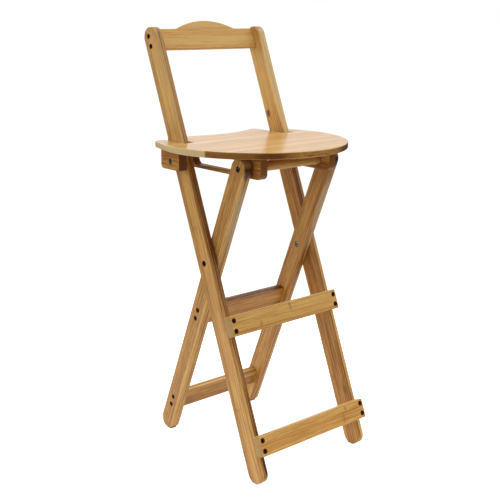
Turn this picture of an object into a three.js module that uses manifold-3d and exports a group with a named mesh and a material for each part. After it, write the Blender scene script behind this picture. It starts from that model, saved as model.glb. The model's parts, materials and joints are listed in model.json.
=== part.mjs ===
// A folding bar stool of laminated bamboo. Two crossed leg frames carry a round seat, and the long legs
// run on past the seat as the posts of a low back. The short legs' top dowel slides in two slotted
// bearers under the seat. Millimetres, +Z up, +Y towards the back, X across. The origin lies on the
// floor, under the middle of the stool.
import * as THREE from "three";
import { mergeVertices } from "three/addons/utils/BufferGeometryUtils.js";
import Module from "manifold-3d";

const wasm = await Module();
wasm.setup();

// Boards
const boardThickness = 21; // legs, bearers and rear rungs
const legWidth = 47;
const edgeEase = 1.5; // rounding along the edges of every board
const runningGap = 2.5; // between two boards that turn past each other
const fixedGap = 0.3; // between a piece and the one it is fixed to
const overrun = 5; // how far a cutter reaches past the face that it opens

// Leg frames: arms are measured along the legs from the crossing bolt
const outerWidth = 342; // over the long legs
const legTilt = THREE.MathUtils.degToRad(21.8);
const footArm = 496.7; // to the centre of a foot's rounding
const headArm = 548; // to the centre of a post's top rounding
const pivotArm = 248.4; // to the seat pivot, and to the top dowel

// Rungs
const rungHeight = 46; // of the low rungs
const frontMidRungHeight = 48;
const rearMidRungHeight = 50;
const rungCorner = 3;
const frontRungThickness = 24;
const frontMidRungDrop = 132; // crossing bolt to the top edge of the front middle rung
const rearMidRungDrop = 133.9;
const lowRungRise = 84.5; // centre of a foot's rounding to the top edge of a low rung
const rearRungSetback = 2.5; // rear rungs lie this far behind the middle of the short legs

// Crest rail
const crestThickness = 13;
const crestHeight = 50; // at its flat ends
const crestBelowHead = 30.5; // lower edge below the centre of the post's top rounding
const crestFrontSetback = 21.2; // behind the front faces of the posts
const archRise = 20;
const archHalfSpan = 90;
const archFoot = 12; // hollow rounding where the arch leaves the flat ends

// Seat
const seatThickness = 15;
const seatEase = 2.5;
const seatOverhang = 31.2; // past the outer face of each pivot block
const seatCentreSetback = 28; // centre of the seat's round, behind the crossing bolt
const earStart = THREE.MathUtils.degToRad(17.8); // where an ear's straight side leaves the round
const earSide = 52; // length of that side
const earCorner = 4;
const notchPlay = 7; // between a post and the inner wall of its notch
const notchFrontPlay = 0.9; // in front of a post that stands square to the seat
const notchCorner = 4;
const hollowRadius = 262; // of the hollow rear edge between the posts
const hollowSetback = 58.6; // middle of that edge, behind the seat pivot
const hornCorner = 13;

// Seat carriers
const dowelRadius = 12;
const slotPlay = 2.8; // more room under the dowel than over it
const slotRearPlay = 3.7; // behind the dowel when the stool is folded
const slotFloor = 8; // wood left below the slot
const bearerNose = 28.3; // wood in front of the slot
const bearerTail = 20.3; // wood behind the slot
const bearerNoseCorner = 12;
const bearerGap = 8.5; // between a short leg and the bearer beside it
const legTopPlay = 4; // between the round top of a short leg and the seat
const blockThickness = 22.5;
const blockFront = 32.4; // pivot block in front of the pivot
const blockRear = 38.1; // pivot block behind the pivot
const blockDepth = 20; // pivot block below the pivot
const blockCorner = 10;

// Screws
const screwHeadRadius = 4.7;
const screwHeadHeight = 3.5;
const screwShankRadius = 2.4;
const screwSink = 1; // top of the head below the face
const screwBoreRadius = 5.3;
const screwTip = 5;
const screwPitch = 24.4; // between the two screws of a joint
const rungScrewDrop = 9.9; // upper screw below the top edge of a rung
const frontMidScrewDrop = 11.8; // the same on the front middle rung
const crestScrewRise = 9.5; // lower screw above the lower edge of the crest rail
const frontScrewInset = 9.3; // from the end of a front rung
const frontScrewBite = 25; // into the leg
const endScrewBite = 30; // into the end of a rail or rung
const carrierScrewSink = 12; // of the screws that hold bearers and blocks to the seat
const bearerScrewInset = 12; // from the end of a bearer
const seatScrewBite = 10; // into the seat
const blockScrewInset = 15; // from the front of a pivot block

// Bolts, sleeve nuts and washers
const boltHeadRadius = 5.2;
const boltHeadHeight = 4;
const boltHeadEase = 0.6;
const boltSink = 1; // top of the head below the face
const boltBoreRadius = 6.3;
const boltShankRadius = 3;
const sleeveRadius = 4.3;
const sleeveLength = 14;
const sleeveFlangeRadius = 6;
const sleeveFlangeHeight = 1.6;
const sleeveFloor = 1.5;
const sleeveSink = 1; // outer face of the flange below the face
const sleeveBoreRadius = 7.4; // of the recess that the flange lies in
const washerRadius = 9;
const dowelBoltSink = 3;
const dowelBoltBite = 40;

// Foot pads
const padWidth = 18; // along X
const padLength = 18;
const padThickness = 2.5;
const padInset = 2; // from the lowest point of the foot towards the middle of the stool
const padCorner = 2;
const padEase = 0.3;

// Facets
const endSteps = 12; // of a half-round end
const cornerSteps = 3;
const rimSteps = 60; // of the seat's round
const hollowSteps = 10;
const archSteps = 14;
const easeSteps = 1;
const boreSteps = 10;
const dowelSteps = 24;

// Places that follow from the sizes
const legHalf = legWidth / 2;
const longOuter = outerWidth / 2;
const longInner = longOuter - boardThickness;
const shortOuter = longInner - runningGap;
const shortInner = shortOuter - boardThickness;
const bearerOuter = shortInner - bearerGap;
const blockInner = longOuter + runningGap;
const blockOuter = blockInner + blockThickness;
const crossHeight = footArm * Math.cos(legTilt) + legHalf;
const lowRungDrop = footArm - lowRungRise; // crossing bolt to the top edge of a low rung
const pivotY = pivotArm * Math.sin(legTilt);
const pivotZ = pivotArm * Math.cos(legTilt);
const seatBottom = legHalf + legTopPlay; // above the pivot
const slotRadius = dowelRadius + fixedGap + slotPlay / 2;
const slotCentreZ = dowelRadius + fixedGap - slotRadius;
const carrierTop = seatBottom - fixedGap;
const bearerBottom = slotCentreZ - slotRadius - slotFloor;
const seatRadius = blockOuter + seatOverhang;
const notchOuter = longOuter + runningGap;
const notchInner = longInner - notchPlay;
const frontRungBack = -legHalf - fixedGap;
const frontRungFace = frontRungBack - frontRungThickness;
const rungReach = lowRungDrop + rungHeight - edgeEase;
const frontReach = rungReach * Math.sin(legTilt) - frontRungFace * Math.cos(legTilt);
const crestFront = crestFrontSetback - legHalf;
const crestRear = crestFront + crestThickness;
const crestBottom = headArm - crestBelowHead;
const archTop = crestBottom + crestHeight + archRise;
const archReach = (archTop - edgeEase) * Math.sin(legTilt) + crestRear * Math.cos(legTilt);
const rearReach = Math.max(headArm * Math.sin(legTilt) + legHalf, archReach);
const middleY = (rearReach - frontReach) / 2;

// Finishes
const bamboo = new THREE.MeshStandardMaterial({ color: 0xc99a5b, roughness: 0.45, metalness: 0 });
const seatBamboo = new THREE.MeshStandardMaterial({ color: 0xd3a56f, roughness: 0.35, metalness: 0 });
const darkSteel = new THREE.MeshStandardMaterial({ color: 0x2a1d14, roughness: 0.5, metalness: 0.7 });
const brightSteel = new THREE.MeshStandardMaterial({ color: 0x9a9a98, roughness: 0.35, metalness: 0.9 });
const nylon = new THREE.MeshStandardMaterial({ color: 0xd8d4c8, roughness: 0.6, metalness: 0 });
const padRubber = new THREE.MeshStandardMaterial({ color: 0x141414, roughness: 0.85, metalness: 0 });

const up = new THREE.Vector3(0, 0, 1);
const down = new THREE.Vector3(0, 0, -1);
const front = new THREE.Vector3(0, -1, 0);

// A closed geometry as a solid that can be cut.
function solidOf(geometry) {
  const bare = geometry.clone();
  bare.deleteAttribute("normal");
  bare.deleteAttribute("uv");
  const merged = mergeVertices(bare);
  return new wasm.Manifold(
    new wasm.Mesh({
      numProp: 3,
      vertProperties: merged.attributes.position.array,
      triVerts: new Uint32Array(merged.index.array),
    }),
  );
}

// A cut solid as a geometry.
function geometryOf(solid) {
  const cut = solid.getMesh();
  const indexed = new THREE.BufferGeometry();
  indexed.setAttribute("position", new THREE.BufferAttribute(cut.vertProperties, cut.numProp));
  indexed.setIndex(new THREE.BufferAttribute(cut.triVerts, 1));
  const geometry = indexed.toNonIndexed();
  geometry.computeVertexNormals();
  return geometry;
}

// The geometry with every cutter taken out of it.
function drilled(geometry, cutters) {
  const whole = solidOf(geometry);
  return geometryOf(cutters.reduce((solid, cutter) => solid.subtract(solidOf(cutter)), whole));
}

// Points of an arc from angle a to angle b, both ends included.
function arc(x, y, radius, a, b, steps) {
  return Array.from({ length: steps + 1 }, (_, i) => {
    const angle = a + ((b - a) * i) / steps;
    return new THREE.Vector2(x + radius * Math.cos(angle), y + radius * Math.sin(angle));
  });
}

// An anticlockwise polygon given as [x, y, corner radius], with outer and inner corners rounded alike.
function rounded(corners) {
  const points = corners.map(([x, y]) => new THREE.Vector2(x, y));
  return corners.flatMap(([, , radius], i) => {
    const corner = points[i];
    if (!radius) return [corner];
    const before = points.at(i - 1).clone().sub(corner).normalize();
    const after = points[(i + 1) % points.length].clone().sub(corner).normalize();
    const half = Math.acos(THREE.MathUtils.clamp(before.dot(after), -1, 1)) / 2;
    const inward = before.clone().add(after).normalize();
    const centre = corner.clone().addScaledVector(inward, radius / Math.sin(half));
    const turn = (Math.PI - 2 * half) * Math.sign(after.cross(before));
    const middle = Math.atan2(-inward.y, -inward.x);
    return arc(centre.x, centre.y, radius, middle - turn / 2, middle + turn / 2, cornerSteps);
  });
}

// A board with eased edges: the outline in X and Y, its thickness from 0 along +Z.
function board(outline, thickness, ease = edgeEase) {
  const geometry = new THREE.ExtrudeGeometry(new THREE.Shape(outline), {
    depth: thickness - 2 * ease,
    bevelThickness: ease,
    bevelSize: ease,
    bevelOffset: -ease,
    bevelSegments: easeSteps,
    bevelEnabled: true,
  });
  return geometry.translate(0, 0, ease);
}

// Turns a board so that its outline is in Y and Z and its thickness runs along +X.
function standing(geometry) {
  const alongY = new THREE.Vector3(0, 1, 0);
  const alongZ = new THREE.Vector3(0, 0, 1);
  const alongX = new THREE.Vector3(1, 0, 0);
  return geometry.applyMatrix4(new THREE.Matrix4().makeBasis(alongY, alongZ, alongX));
}

// Turns a board so that its outline is in X and Z and its thickness runs towards the front, along -Y.
function facing(geometry) {
  return geometry.rotateX(Math.PI / 2);
}

// A round piece about Z, from [radius, height] pairs that start and end on the axis and rise.
function turned(profile, steps = boreSteps) {
  const points = profile.map(([radius, height]) => new THREE.Vector2(radius, height));
  return new THREE.LatheGeometry(points, steps).rotateX(Math.PI / 2);
}

// A stretch of cylinder along X.
function rod(radius, from, to, steps = boreSteps) {
  const length = Math.abs(to - from);
  const geometry = new THREE.CylinderGeometry(radius, radius, length, steps);
  return geometry.rotateZ(Math.PI / 2).translate((from + to) / 2, 0, 0);
}

// A screw about Z whose hole opens at z = 0, and the cutter for that hole.
function screw(length, sink = screwSink) {
  return turned([
    [0, -sink - length],
    [screwShankRadius, -sink - length + screwTip],
    [screwShankRadius, -sink - screwHeadHeight],
    [screwHeadRadius, -sink - screwHeadHeight],
    [screwHeadRadius, -sink],
    [0, -sink],
  ]);
}
function screwHole(length, sink = screwSink) {
  const shank = screwShankRadius + fixedGap;
  return turned([
    [0, -sink - length - fixedGap],
    [shank, -sink - length - fixedGap],
    [shank, -sink - screwHeadHeight - fixedGap],
    [screwBoreRadius, -sink - screwHeadHeight - fixedGap],
    [screwBoreRadius, overrun],
    [0, overrun],
  ]);
}

// A socket-head bolt about Z, from its end to the top of its head.
function bolt(end, headTop) {
  return turned([
    [0, end],
    [boltShankRadius, end],
    [boltShankRadius, headTop - boltHeadHeight],
    [boltHeadRadius, headTop - boltHeadHeight],
    [boltHeadRadius, headTop - boltHeadEase],
    [boltHeadRadius - boltHeadEase, headTop],
    [0, headTop],
  ]);
}

// A sleeve nut about Z, with the outer face of its flange at the height given.
function sleeveNut(face) {
  const bore = boltShankRadius + fixedGap;
  return turned([
    [0, face],
    [sleeveFlangeRadius, face],
    [sleeveFlangeRadius, face + sleeveFlangeHeight],
    [sleeveRadius, face + sleeveFlangeHeight],
    [sleeveRadius, face + sleeveLength],
    [bore, face + sleeveLength],
    [bore, face + sleeveFloor],
    [0, face + sleeveFloor],
  ]);
}

// The cutters for a bolt that lies along X between two faces, its head and its sleeve nut sunk in them.
function boltHoles(sign, innerFace, outerFace) {
  const inside = sign * (innerFace - overrun);
  const outside = sign * (outerFace + overrun);
  const headFloor = outerFace - boltSink - boltHeadHeight - fixedGap;
  const sleeveFace = innerFace + sleeveSink;
  const sleeveEnd = sleeveFace + sleeveLength + fixedGap;
  const flangeEnd = sleeveFace + sleeveFlangeHeight + fixedGap;
  return [
    rod(boltShankRadius + fixedGap, inside, outside),
    rod(boltBoreRadius, sign * headFloor, outside),
    rod(sleeveRadius + fixedGap, inside, sign * sleeveEnd),
    rod(sleeveBoreRadius, inside, sign * flangeEnd),
  ];
}

// Adds a bolt along X, its sleeve nut, and the washer that keeps the two boards on it apart.
function addPivot(group, name, sign, innerFace, gapStart, outerFace) {
  const outward = new THREE.Vector3(sign, 0, 0);
  const sleeveFace = innerFace + sleeveSink;
  const boltEnd = sleeveFace + sleeveFloor + fixedGap;
  const shaft = add(group, `${name}_bolt`, bolt(boltEnd, outerFace - boltSink), darkSteel);
  const sleeve = add(group, `${name}_sleeve_nut`, sleeveNut(sleeveFace), brightSteel);
  shaft.quaternion.setFromUnitVectors(up, outward);
  sleeve.quaternion.setFromUnitVectors(up, outward);
  const gapEnd = gapStart + runningGap;
  const washer = rod(washerRadius, sign * (gapStart + fixedGap), sign * (gapEnd - fixedGap));
  const bore = rod(boltShankRadius + fixedGap, sign * (gapStart - overrun), sign * (gapEnd + overrun));
  add(group, `${name}_washer`, drilled(washer, [bore]), nylon);
}

// Adds a named piece to a group.
function add(group, name, geometry, finish) {
  const mesh = new THREE.Mesh(geometry, finish.clone());
  mesh.name = name;
  group.add(mesh);
  return mesh;
}

// Adds a screw at a place on a face, its head towards the direction given, and returns its hole's cutter.
function addScrew(group, name, place, outward, length, sink) {
  const mesh = add(group, name, screw(length, sink), darkSteel);
  mesh.position.copy(place);
  mesh.quaternion.setFromUnitVectors(up, outward);
  mesh.updateMatrix();
  return screwHole(length, sink).applyMatrix4(mesh.matrix);
}

// Both sides of the stool, as the sign of X.
const sides = [
  ["left", -1],
  ["right", 1],
];

// Moves a standing board out to one side, its inner face at the given distance from the middle.
function onSide(geometry, sign, inner, thickness) {
  return geometry.translate(sign > 0 ? inner : -inner - thickness, 0, 0);
}

// The outline of a leg, in its own frame: width along X, length along Y, the crossing bolt at zero.
function legOutline(topArm) {
  return [
    ...arc(0, topArm, legHalf, 0, Math.PI, endSteps),
    ...arc(0, -footArm, legHalf, Math.PI, 2 * Math.PI, endSteps),
  ];
}

// What is cut off the round feet of a leg frame turned by the angle given, so that a pad fits under each.
function footFlat(turn) {
  const reach = legHalf + overrun;
  const block = new THREE.BoxGeometry(outerWidth + 2 * overrun, 2 * reach, reach);
  block.translate(0, 0, padThickness + fixedGap - legHalf - reach / 2);
  return block.rotateX(-turn).translate(0, 0, -footArm);
}

// The crest rail's outline: flat ends, and an arch that leaves them through two hollow roundings.
function crestOutline() {
  const half = longInner - fixedGap;
  const top = crestBottom + crestHeight;
  const archRadius = (archHalfSpan ** 2 + archRise ** 2) / (2 * archRise);
  const archCentre = archTop - archRadius;
  const footX = Math.sqrt((archRadius + archFoot) ** 2 - (top + archFoot - archCentre) ** 2);
  const lean = Math.atan2(top + archFoot - archCentre, footX);
  return [
    new THREE.Vector2(-half, crestBottom),
    new THREE.Vector2(half, crestBottom),
    new THREE.Vector2(half, top),
    ...arc(footX, top + archFoot, archFoot, (3 * Math.PI) / 2, Math.PI + lean, cornerSteps),
    ...arc(0, archCentre, archRadius, lean, Math.PI - lean, archSteps).slice(1, -1),
    ...arc(-footX, top + archFoot, archFoot, 2 * Math.PI - lean, (3 * Math.PI) / 2, cornerSteps),
    new THREE.Vector2(-half, top),
  ];
}

// A rung's outline between two ends, its top edge at the given distance below the crossing bolt.
function rungOutline(half, drop, height) {
  return rounded([
    [-half, -drop - height, rungCorner],
    [half, -drop - height, rungCorner],
    [half, -drop, rungCorner],
    [-half, -drop, rungCorner],
  ]);
}

// The seat's outline: its round, which runs straight on into an ear outside each post, a notch for each
// post and the hollow rear edge.
function seatOutline() {
  const sideX = seatRadius * Math.cos(earStart);
  const sideY = seatCentreSetback + seatRadius * Math.sin(earStart);
  const earX = sideX - earSide * Math.sin(earStart);
  const earY = sideY + earSide * Math.cos(earStart);
  const notchFront = pivotY - legHalf - notchFrontPlay;
  const hollowCentre = pivotY + hollowSetback + hollowRadius;
  const hornX = notchInner - hornCorner;
  const hornY = hollowCentre - Math.sqrt((hollowRadius + hornCorner) ** 2 - hornX ** 2);
  const hornLean = Math.atan2(hollowCentre - hornY, hornX);
  const rim = arc(0, seatCentreSetback, seatRadius, Math.PI - earStart, 2 * Math.PI + earStart, rimSteps);
  const right = [
    ...rounded([
      [sideX, sideY, 0],
      [earX, earY, earCorner],
      [notchOuter, earY, notchCorner],
      [notchOuter, notchFront, notchCorner],
      [notchInner, notchFront, notchCorner],
      [notchInner, hornY, 0],
    ]).slice(1, -1),
    ...arc(hornX, hornY, hornCorner, 0, Math.PI - hornLean, cornerSteps),
  ];
  const left = right.map(({ x, y }) => new THREE.Vector2(-x, y)).reverse();
  return [
    ...rim.slice(1, -1),
    ...right,
    ...arc(0, hollowCentre, hollowRadius, -hornLean, hornLean - Math.PI, hollowSteps).slice(1, -1),
    ...left,
  ];
}

// The part, with the origin under the middle of its length.
const stool = new THREE.Group();
const crossing = new THREE.Group();
crossing.position.set(0, -middleY, crossHeight);
stool.add(crossing);

// A pad under one of the four feet, level with the floor. Inward is the sign of Y towards the middle.
function addPad(side, sign, row, legMiddle, inward) {
  const outline = rounded([
    [-padWidth / 2, -padLength / 2, padCorner],
    [padWidth / 2, -padLength / 2, padCorner],
    [padWidth / 2, padLength / 2, padCorner],
    [-padWidth / 2, padLength / 2, padCorner],
  ]);
  const pad = add(crossing, `${side}_${row}_pad`, board(outline, padThickness, padEase), padRubber);
  pad.position.set(sign * legMiddle, inward * (padInset - footArm * Math.sin(legTilt)), -crossHeight);
}

// The rungs of each frame: level, drop and height, and how far below its top edge the upper screws lie.
const frontRungs = [
  ["mid", frontMidRungDrop, frontMidRungHeight, frontMidScrewDrop],
  ["low", lowRungDrop, rungHeight, rungScrewDrop],
];
const rearRungs = [
  ["mid", rearMidRungDrop, rearMidRungHeight, rungScrewDrop],
  ["low", lowRungDrop, rungHeight, rungScrewDrop],
];

// Long-leg frame: its local Z runs up the legs, and it leans back.
const longFrame = new THREE.Group();
longFrame.rotation.x = -legTilt;
crossing.add(longFrame);
const longCutters = [footFlat(-legTilt)];
for (const [side, sign] of sides) {
  const outward = new THREE.Vector3(sign, 0, 0);
  for (const [level, drop, , screwDrop] of frontRungs) {
    for (const [row, fall] of [["upper", screwDrop], ["lower", screwDrop + screwPitch]]) {
      const place = new THREE.Vector3(sign * (longOuter - frontScrewInset), frontRungFace, -drop - fall);
      const length = frontRungThickness - screwSink + frontScrewBite;
      longCutters.push(addScrew(longFrame, `${side}_front_${level}_${row}_screw`, place, front, length));
    }
  }
  for (const [row, rise] of [["lower", crestScrewRise], ["upper", crestScrewRise + screwPitch]]) {
    const place = new THREE.Vector3(sign * longOuter, crestFront + crestThickness / 2, crestBottom + rise);
    const length = boardThickness - screwSink + endScrewBite;
    longCutters.push(addScrew(longFrame, `${side}_crest_${row}_screw`, place, outward, length));
  }
  const pivotHoles = boltHoles(sign, longInner, blockOuter).map((hole) => hole.translate(0, 0, pivotArm));
  longCutters.push(...boltHoles(sign, shortInner, longOuter), ...pivotHoles);
  addPad(side, sign, "front", (longInner + longOuter) / 2, 1);
}
for (const [side, sign] of sides) {
  const leg = standing(board(legOutline(headArm), boardThickness));
  onSide(leg, sign, longInner, boardThickness);
  add(longFrame, `${side}_long_leg`, drilled(leg, longCutters), bamboo);
}
const crest = facing(board(crestOutline(), crestThickness)).translate(0, crestRear, 0);
add(longFrame, "crest_rail", drilled(crest, longCutters), bamboo);
for (const [level, drop, height] of frontRungs) {
  const rung = facing(board(rungOutline(longOuter, drop, height), frontRungThickness));
  rung.translate(0, frontRungBack, 0);
  add(longFrame, `front_${level}_rung`, drilled(rung, longCutters), bamboo);
}

// Short-leg frame: its local Z runs up the legs, and it leans forward.
const shortFrame = new THREE.Group();
shortFrame.rotation.x = legTilt;
crossing.add(shortFrame);
const shortCutters = [footFlat(legTilt)];
for (const [side, sign] of sides) {
  const outward = new THREE.Vector3(sign, 0, 0);
  for (const [level, drop, , screwDrop] of rearRungs) {
    for (const [row, fall] of [["upper", screwDrop], ["lower", screwDrop + screwPitch]]) {
      const place = new THREE.Vector3(sign * shortOuter, rearRungSetback, -drop - fall);
      const length = boardThickness - screwSink + endScrewBite;
      shortCutters.push(addScrew(shortFrame, `${side}_rear_${level}_${row}_screw`, place, outward, length));
    }
  }
  const headTop = shortOuter - dowelBoltSink;
  const headFloor = headTop - boltHeadHeight - fixedGap;
  const boltEnd = shortInner - dowelBoltBite;
  const headBore = rod(boltBoreRadius, sign * headFloor, sign * (shortOuter + overrun));
  const shankBore = rod(boltShankRadius + fixedGap, sign * (boltEnd - fixedGap), sign * shortOuter);
  const dowelHoles = [headBore, shankBore].map((hole) => hole.translate(0, 0, pivotArm));
  shortCutters.push(...boltHoles(sign, shortInner, longOuter), ...dowelHoles);
  const shaft = add(shortFrame, `${side}_dowel_bolt`, bolt(boltEnd, headTop), darkSteel);
  shaft.position.set(0, 0, pivotArm);
  shaft.quaternion.setFromUnitVectors(up, outward);
  addPad(side, sign, "rear", (shortInner + shortOuter) / 2, -1);
}
for (const [side, sign] of sides) {
  const leg = standing(board(legOutline(pivotArm), boardThickness));
  onSide(leg, sign, shortInner, boardThickness);
  add(shortFrame, `${side}_short_leg`, drilled(leg, shortCutters), bamboo);
}
const rearHalf = shortInner - fixedGap;
const dowel = rod(dowelRadius, -rearHalf, rearHalf, dowelSteps).translate(0, 0, pivotArm);
add(shortFrame, "top_dowel", drilled(dowel, shortCutters), bamboo);
for (const [level, drop, height] of rearRungs) {
  const rung = facing(board(rungOutline(rearHalf, drop, height), boardThickness));
  rung.translate(0, rearRungSetback + boardThickness / 2, 0);
  add(shortFrame, `rear_${level}_rung`, drilled(rung, shortCutters), bamboo);
}

// The bolts that the legs cross on, and those that the seat turns on.
const pivots = new THREE.Group();
pivots.position.set(0, pivotY, pivotZ);
crossing.add(pivots);
for (const [side, sign] of sides) {
  addPivot(crossing, `${side}_crossing`, sign, shortInner, shortOuter, longOuter);
  addPivot(pivots, `${side}_seat_pivot`, sign, longInner, longOuter, blockOuter);
}

// Seat: measured in height from the pivots, and in depth from the crossing bolt.
const seatGroup = new THREE.Group();
seatGroup.position.set(0, 0, pivotZ);
crossing.add(seatGroup);
const seatCutters = [];
const bearerFront = -pivotY - slotRadius - bearerNose;
const bearerRear = pivotY + slotRearPlay + slotRadius + bearerTail;
for (const [side, sign] of sides) {
  const bearerX = sign * (bearerOuter - boardThickness / 2);
  const blockX = sign * (blockInner + blockThickness / 2);
  const carrierScrews = [
    ["bearer_front", bearerX, bearerFront + bearerScrewInset, bearerBottom],
    ["bearer_rear", bearerX, bearerRear - bearerScrewInset, bearerBottom],
    ["block", blockX, pivotY - blockFront + blockScrewInset, -blockDepth],
  ];
  for (const [carrier, x, y, z] of carrierScrews) {
    const name = `${side}_${carrier}_screw`;
    const length = carrierTop - z - carrierScrewSink + seatScrewBite;
    seatCutters.push(addScrew(seatGroup, name, new THREE.Vector3(x, y, z), down, length, carrierScrewSink));
  }
  seatCutters.push(...boltHoles(sign, longInner, blockOuter).map((hole) => hole.translate(0, pivotY, 0)));
}
const slotOutline = [
  ...arc(pivotY + slotRearPlay, slotCentreZ, slotRadius, -Math.PI / 2, Math.PI / 2, endSteps),
  ...arc(-pivotY, slotCentreZ, slotRadius, Math.PI / 2, (3 * Math.PI) / 2, endSteps),
];
for (const [side, sign] of sides) {
  const bearerOutline = rounded([
    [bearerFront, bearerBottom, bearerNoseCorner],
    [bearerRear, bearerBottom, rungCorner],
    [bearerRear, carrierTop, rungCorner],
    [bearerFront, carrierTop, rungCorner],
  ]);
  const bearerInner = bearerOuter - boardThickness;
  const bearer = standing(board(bearerOutline, boardThickness));
  onSide(bearer, sign, bearerInner, boardThickness);
  const slotDepth = boardThickness + 2 * overrun;
  const slotShape = new THREE.Shape(slotOutline);
  const slot = standing(new THREE.ExtrudeGeometry(slotShape, { depth: slotDepth, bevelEnabled: false }));
  onSide(slot, sign, bearerInner - overrun, slotDepth);
  add(seatGroup, `${side}_slotted_bearer`, drilled(bearer, [slot, ...seatCutters]), bamboo);
  const blockOutline = rounded([
    [pivotY - blockFront, -blockDepth, rungCorner],
    [pivotY + blockRear, -blockDepth, blockCorner],
    [pivotY + blockRear, carrierTop, rungCorner],
    [pivotY - blockFront, carrierTop, rungCorner],
  ]);
  const block = standing(board(blockOutline, blockThickness));
  onSide(block, sign, blockInner, blockThickness);
  add(seatGroup, `${side}_pivot_block`, drilled(block, seatCutters), bamboo);
}
const seat = board(seatOutline(), seatThickness, seatEase).translate(0, 0, seatBottom);
add(seatGroup, "seat_board", drilled(seat, seatCutters), seatBamboo);

export default stool;
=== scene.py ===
# The looks of a folding bar stool: lacquered laminated bamboo, black screws and bolts, rubber foot pads.
# Lengths in the dictionaries are millimetres, and everything is turned to metres where it is placed.
import json
import math

import bpy
import numpy as np
from mathutils import Matrix


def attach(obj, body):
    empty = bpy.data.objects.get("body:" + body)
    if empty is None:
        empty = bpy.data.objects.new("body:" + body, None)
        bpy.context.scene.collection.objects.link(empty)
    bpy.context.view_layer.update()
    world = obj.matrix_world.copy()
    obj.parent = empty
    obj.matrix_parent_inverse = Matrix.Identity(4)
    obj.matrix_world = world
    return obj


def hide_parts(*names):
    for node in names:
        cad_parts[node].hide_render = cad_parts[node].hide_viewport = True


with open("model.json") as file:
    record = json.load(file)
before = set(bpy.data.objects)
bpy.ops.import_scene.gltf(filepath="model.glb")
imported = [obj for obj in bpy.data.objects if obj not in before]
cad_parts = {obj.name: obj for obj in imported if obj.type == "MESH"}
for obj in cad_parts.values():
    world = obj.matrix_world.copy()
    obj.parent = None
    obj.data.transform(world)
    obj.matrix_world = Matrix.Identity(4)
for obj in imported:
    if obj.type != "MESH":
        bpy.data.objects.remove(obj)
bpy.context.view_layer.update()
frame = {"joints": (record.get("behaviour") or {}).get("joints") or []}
print("frame loaded")

# Where the stool's joints are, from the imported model, and how far the legs lean.
mm = 0.001
joints = {joint["name"]: joint for joint in frame["joints"]}
crossing = np.array(joints["leg_fold"]["pos_m"])
seatPivot = np.array(joints["seat_fold"]["pos_m"])
armAlong = seatPivot - crossing
lean = math.atan2(armAlong[1], armAlong[2])
pivotArm = np.linalg.norm(armAlong) / mm

across = np.array([1.0, 0.0, 0.0])
back = np.array([0.0, 1.0, 0.0])
rise = np.array([0.0, 0.0, 1.0])
stock = {
    "thickness": 21,
    "blockThickness": 22.5,
    "ease": 1.5,  # rounding along a board's edges
    "hold": 0.3,  # flat ring inside the rounding, which keeps the faces' shading flat
    "easeSteps": 6,
    "fit": 0.3,  # play round what lies in a hole or between two boards
    "gap": 2.5,  # between boards that turn past each other
    "bearerGap": 8.5,  # between a short leg and the bearer beside it
    "overrun": 4,  # how far a cut runs past the wood
    "outer": 171,  # outer face of a long leg, from the middle
    "legHalf": 23.5,  # half the width of a leg
    "footArm": 496.7,  # from the crossing down to the middle of a foot's round
    "headArm": 548,  # and up to the middle of a post's round
    "roundSteps": 40,
    "floorGap": 2.8,  # from the floor to the flat under a foot
}
longInner = stock["outer"] - stock["thickness"]
shortOuter = longInner - stock["gap"]
shortInner = shortOuter - stock["thickness"]
bearerOuter = shortInner - stock["bearerGap"]
bearerInner = bearerOuter - stock["thickness"]
blockInner = stock["outer"] + stock["gap"]
blockOuter = blockInner + stock["blockThickness"]
bothSides = (("left", -1), ("right", 1))


# The axes of a leg frame: x across, y to the back and z up the legs, leaning back by the angle given.
def leaningAxes(angle):
    return np.array([across, [0, math.cos(angle), -math.sin(angle)], [0, math.sin(angle), math.cos(angle)]])


longAxes = leaningAxes(lean)
shortAxes = leaningAxes(-lean)
seatAxes = np.array([across, back, rise])
seatOrigin = np.array([0, crossing[1], seatPivot[2]])


# Points x + radius cos a and y + radius sin a, with a from start to end, both included.
def arc(x, y, radius, start, end, steps):
    a = np.linspace(start, end, steps + 1)
    return np.stack([x + radius * np.cos(a), y + radius * np.sin(a)], axis=1)


# A full circle, anticlockwise.
def circle(radius, steps=32):
    return arc(0, 0, radius, 0, 2 * math.pi, steps)[:-1]


# An anticlockwise outline through corners [x, y, radius]. Each arc's centre lies radius / sin(half the
# corner's angle) from the corner, on the line that halves it, so that the arc touches both sides.
def rounded(corners, steps=8):
    spots = np.array([corner[:2] for corner in corners], float)
    stretches = []
    for i, (x, y, radius) in enumerate(corners):
        if radius == 0:
            stretches.append(spots[i][None])
            continue
        before = spots[i - 1] - spots[i]
        after = spots[(i + 1) % len(spots)] - spots[i]
        before /= np.linalg.norm(before)
        after /= np.linalg.norm(after)
        half = math.acos(np.clip(before @ after, -1, 1)) / 2
        inward = (before + after) / np.linalg.norm(before + after)
        centre = spots[i] + inward * radius / math.sin(half)
        sense = np.sign(after[0] * before[1] - after[1] * before[0])
        turn = (math.pi - 2 * half) * sense
        middle = math.atan2(-inward[1], -inward[0])
        stretches.append(arc(centre[0], centre[1], radius, middle - turn / 2, middle + turn / 2, steps))
    return np.concatenate(stretches)


# A rectangle whose corners have the radii given, anticlockwise from its low left one.
def rectangle(left, low, right, high, radii):
    spots = [[left, low], [right, low], [right, high], [left, high]]
    return rounded([[*spot, radius] for spot, radius in zip(spots, radii)])


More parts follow.
